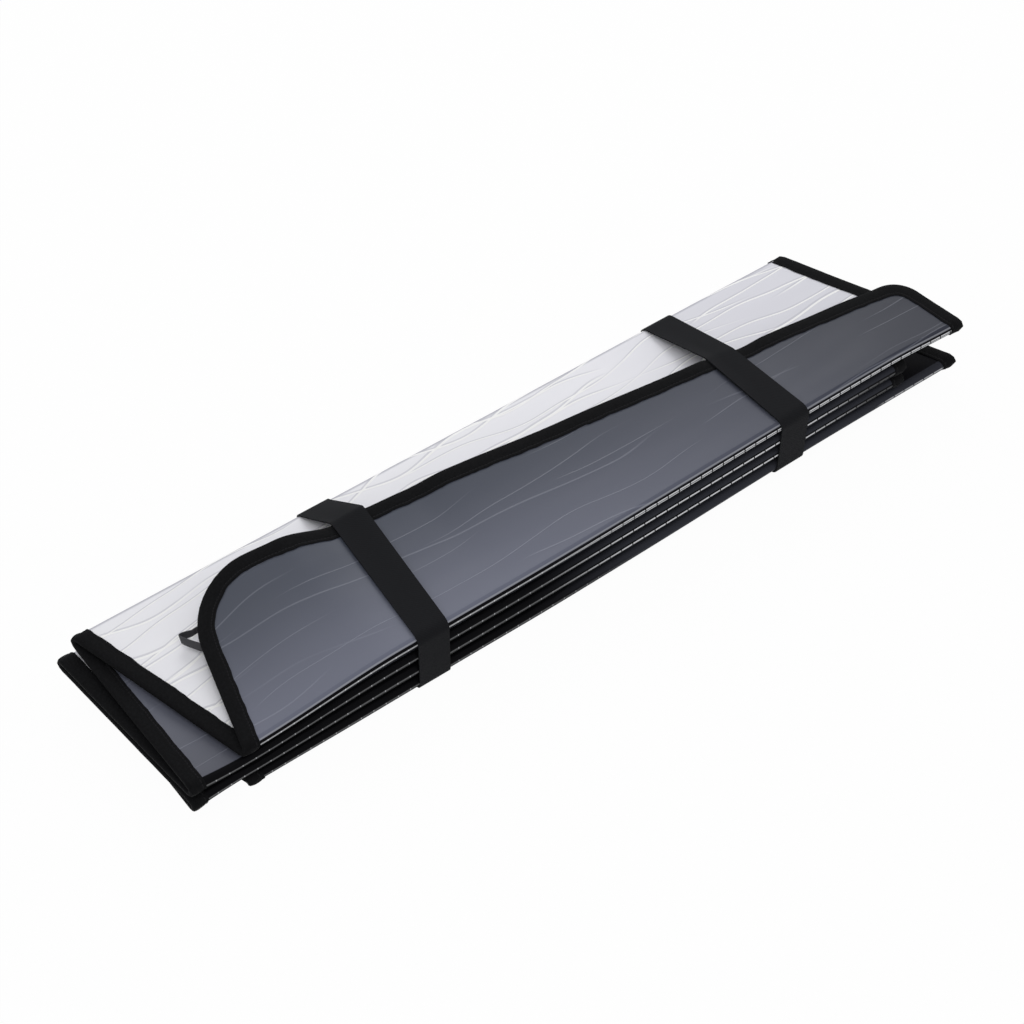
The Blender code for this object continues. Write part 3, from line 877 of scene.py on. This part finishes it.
def highlight_levels(film, along, from_line, taut, first, last):
    """How bright the painted highlight on the fold's nose is: even with ticks where the folds are slack,
    dashes where taut.
    """
    beat = film.math("FRACT", film.math("DIVIDE", along, FOLD_TICK_PITCH))
    from_tick = film.math("ABSOLUTE", film.math("SUBTRACT", beat, 0.5))
    tick = film.ramp(from_tick, *FOLD_TICK, 0.0, FOLD_TICK_LEVEL)
    even = film.math("MULTIPLY_ADD", first, FOLD_FIRST_SLACK_GAIN, FOLD_SLACK_LEVEL)
    slack_level = film.math("ADD", even, tick)

    dash = film.ramp(from_tick, *FOLD_DASH, 1.0, 0.0)
    split = film.ramp(from_line, *FOLD_SPLIT, film.math("MULTIPLY_ADD", first, -FOLD_SPLIT_DEPTH, 1.0), 1.0)
    shown = film.math("MAXIMUM", first, film.ramp(along, *FOLD_FADE, 1.0, FOLD_FADED_LEVEL))
    shown = film.math("MAXIMUM", film.math("MULTIPLY", shown, film.math("SUBTRACT", 1.0, last)),
                      film.math("MULTIPLY", last, film.ramp(along, *FOLD_LAST_SPAN, 0.0, FOLD_LAST_LEVEL)))
    taut_level = film.math("MULTIPLY", film.math("MULTIPLY", dash, split), shown)
    return film.add("Mix", [(0, taut), (2, slack_level), (3, taut_level)], data_type="FLOAT").outputs[0]


def make_foil():
    """Pale silver foil with long crossing wrinkles, each a painted highlight on its ridge with painted shade
    at its foot, and painted shade towards the top end and on each fold's nose.
    """
    foil = Finish("silver_foil", (0.78, 0.78, 0.83), 0.55, 0.05, gloss=0.25)
    across, along = foil.pattern()
    cloud = foil.clouds(across, along, *FOIL_CLOUDS)
    base = foil.mix(foil.ramp(cloud, *CLOUD_SPAN), *FOIL_CLOUD_COLOURS)
    # Painted shade: the foil darkens towards the shade's top end.
    base = foil.mix(foil.ramp(along, *FOIL_TOP_SHADE_SPAN), base, FOIL_TOP_END_SHADE)
    # Painted shade on the nose of each fold, where the foil turns away.
    from_fold = foil.math("PINGPONG", across, PANEL_WIDTH / 2)
    base = foil.mix(foil.ramp(from_fold, *FOIL_TURN_SHADE_SPAN, FOIL_TURN_SHADE_SHARE, 0.0), base, FOIL_TURN_SHADE)

    ridge = 0.0
    foot = 0.0
    for rows, slant, sway, seed in FOIL_CREASES:
        place = foil.creases(across, along, rows, slant, sway, seed)
        shown = foil.patches(across, along, seed + 1, *FOIL_CREASE_PATCHES)
        ridges = foil.math("MULTIPLY", foil.line(place, *FOIL_RIDGE_LINE), shown)
        feet = foil.math("MULTIPLY", foil.line(place, *FOIL_FOOT_LINE), shown)
        ridge = foil.math("MAXIMUM", ridge, ridges)
        foot = foil.math("MAXIMUM", foot, feet)
    # Painted shade at each wrinkle's foot and painted highlight on its ridge.
    base = foil.mix(foil.math("MULTIPLY", foot, FOIL_FOOT_SHADE_SHARE), base, FOIL_FOOT_SHADE)
    base = foil.mix(ridge, base, FOIL_RIDGE_HIGHLIGHT)
    grain = foil.noise(foil.place(across, along), *FOIL_GRAIN)
    rough = foil.ramp(cloud, *CLOUD_SPAN, *FOIL_ROUGHNESS)
    return foil.finish(base, rough, [(ridge, 0.0003, 0.5), (grain, 0.00003, 0.3)])


def make_foam():
    """Cut edge of the foam."""
    foam = Finish("foam_edge", (0.55, 0.55, 0.56), 0.85)
    across, along = foam.pattern()
    cells = foam.noise(foam.place(across, along), *FOAM_CELLS)
    return foam.finish(heights=[(cells, 0.0002, 0.6)])


def make_cloth():
    """Black woven tape with one row of stitches along each inner edge."""
    cloth = Finish("black_tape", (0.0060, 0.0060, 0.0070), 0.88, gloss=0.12)
    walked, around = cloth.pattern()
    weave = cloth.math("MULTIPLY", cloth.wave(walked, TAPE_THREAD), cloth.wave(around, TAPE_THREAD))
    fuzz = cloth.noise(cloth.place(walked, around), *TAPE_FUZZ)
    base = cloth.mix(cloth.ramp(fuzz, *TAPE_FUZZ_SPAN), *TAPE_COLOURS)

    total = 2 * BINDING_WIDTH + 2 * BINDING_REACH
    from_edge = cloth.math("MINIMUM", around, cloth.math("SUBTRACT", total, around))
    seam = cloth.line(from_edge, STITCH_INSET, STITCH_SEAM_HALF, STITCH_SEAM_SOFTNESS)
    beat = cloth.math("FRACT", cloth.math("DIVIDE", walked, STITCH_PITCH))
    stitch = cloth.math("MULTIPLY", seam, cloth.line(beat, 0.5, STITCH_HALF_SHARE, STITCH_SOFT_SHARE))
    base = cloth.mix(cloth.math("MULTIPLY", stitch, 0.5), base, STITCH_COLOUR)
    dip = cloth.math("SUBTRACT", 1.0, seam)
    return cloth.finish(base, None, [(fuzz, 0.0003, 0.5), (weave, 0.00012, 0.5), (dip, 0.0006, 0.6)])


def make_elastic():
    """Black woven elastic with fine slanting ribs."""
    elastic = Finish("black_elastic", (0.0100, 0.0106, 0.0124), 0.80, gloss=0.12)
    walked, around = elastic.pattern()
    ribs = elastic.wave(elastic.math("ADD", walked, around), ELASTIC_RIB)
    cross = elastic.wave(elastic.math("SUBTRACT", walked, around), ELASTIC_CROSS_RIB)
    weave = elastic.math("ADD", ribs, elastic.math("MULTIPLY", cross, 0.5))
    base = elastic.mix(elastic.ramp(weave, -1.2, 1.2), *ELASTIC_COLOURS)
    return elastic.finish(base, None, [(weave, 0.00010, 0.5)])


def make_ribbon():
    """Dark grey ribbon of the hanging loop, ribbed across."""
    ribbon = Finish("grey_ribbon", (0.035, 0.035, 0.040), 0.65)
    ribs = ribbon.wave(ribbon.pattern()[0], RIBBON_RIB)
    base = ribbon.mix(ribbon.ramp(ribs, -1.0, 1.0), *RIBBON_COLOURS)
    return ribbon.finish(base, None, [(ribs, 0.0001, 0.5)])


def seen_plainly(tree):
    """1 where the camera sees something itself or in a mirror or glass, and 0 where it only lights."""
    path = tree.nodes.new("ShaderNodeLightPath")
    seen = path.outputs["Is Camera Ray"]
    for name in ("Is Glossy Ray", "Is Transmission Ray"):
        either = tree.nodes.new("ShaderNodeMath")
        either.operation = "MAXIMUM"
        tree.links.new(seen, either.inputs[0])
        tree.links.new(path.outputs[name], either.inputs[1])
        seen = either.outputs[0]
    return seen


def make_floor():
    """Plain white floor: white to the camera, with a little of the pack's shadow kept."""
    deselect_all()
    bpy.ops.mesh.primitive_plane_add(size=FLOOR_SIZE, location=(0, 0, FLOOR_HEIGHT))
    floor_piece = bpy.context.object
    floor_piece.name = "studio_floor"
    white = Finish("studio_white", (0.93, 0.93, 0.93), 0.9, gloss=0.0)
    floor_piece.data.materials.append(white.material)
    plain = white.add("Emission", [("Color", (1, 1, 1, 1)), ("Strength", 1.0)])
    share = white.math("MULTIPLY", seen_plainly(white.tree), FLOOR_WHITENESS)
    blend = white.add("MixShader", [(0, share), (1, white.shader.outputs[0]), (2, plain.outputs[0])])
    white.tree.links.new(blend.outputs[0], white.tree.nodes["Material Output"].inputs["Surface"])


def light_studio():
    """Even world light with one large soft lamp above and one behind the pack."""
    world = bpy.data.worlds.new("studio")
    bpy.context.scene.world = world
    world.use_nodes = True
    tree = world.node_tree
    surround = tree.nodes["Background"]
    surround.inputs["Color"].default_value = (1, 1, 1, 1)
    surround.inputs["Strength"].default_value = WORLD_LEVEL
    backdrop = tree.nodes.new("ShaderNodeBackground")
    backdrop.inputs["Color"].default_value = (1, 1, 1, 1)
    backdrop.inputs["Strength"].default_value = 1.0
    blend = tree.nodes.new("ShaderNodeMixShader")
    tree.links.new(seen_plainly(tree), blend.inputs[0])
    tree.links.new(surround.outputs[0], blend.inputs[1])
    tree.links.new(backdrop.outputs[0], blend.inputs[2])
    tree.links.new(blend.outputs[0], tree.nodes["World Output"].inputs["Surface"])
    for name, size, power, place in LAMPS:
        deselect_all()
        bpy.ops.object.light_add(type="AREA", location=place)
        lamp = bpy.context.object
        lamp.name = name
        lamp.data.size = size
        lamp.data.energy = power
        lamp.rotation_euler = (-Vector(place)).to_track_quat("-Z", "Y").to_euler()


def set_camera():
    """Camera at the photograph's place, looking at the photograph's angle."""
    azimuth, elevation, roll = radians(VIEW_AZIMUTH), radians(VIEW_ELEVATION), radians(VIEW_ROLL)
    forward = Vector((sin(azimuth) * cos(elevation), cos(azimuth) * cos(elevation), -sin(elevation)))
    right = forward.cross(Vector((0, 0, 1))).normalized()
    up = right.cross(forward)
    tilted_right = right * cos(roll) + up * sin(roll)
    tilted_up = -right * sin(roll) + up * cos(roll)
    camera_data = bpy.data.cameras.new("camera")
    camera = bpy.data.objects.new("camera", camera_data)
    bpy.context.scene.collection.objects.link(camera)
    camera_data.sensor_width = VIEW_SENSOR
    camera_data.lens = VIEW_LENS
    turn = Matrix((tilted_right, tilted_up, -forward)).transposed().to_4x4()
    camera.matrix_world = Matrix.Translation(Vector(VIEW_PLACE)) @ turn
    bpy.context.scene.camera = camera


def stand_for(item, node):
    """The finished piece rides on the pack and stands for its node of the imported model."""
    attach(item, "root")
    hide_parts(node)


def main():
    """Dress the pack and set up the studio round it."""
    bpy.context.scene.view_settings.view_transform = "Standard"
    set_camera()
    elastic = make_elastic()
    film = make_film("dark_film", 0.30)
    dull = make_film("dark_film_at_folds", 0.03)
    sheet = make_sheet(film, make_foil(), make_foam(), dull)
    binding = make_binding(make_cloth())
    left = make_strap("left_band", elastic, **LEFT_STRAP)
    right = make_strap("right_band", elastic, **RIGHT_STRAP)
    loop = make_loop(make_ribbon())
    stand_for(sheet, "shade_sheet")
    stand_for(binding, "edge_binding")
    stand_for(left, "strap_left")
    stand_for(right, "strap_right")
    stand_for(loop, "hanging_loop")
    flat_area()
    make_floor()
    light_studio()


main()
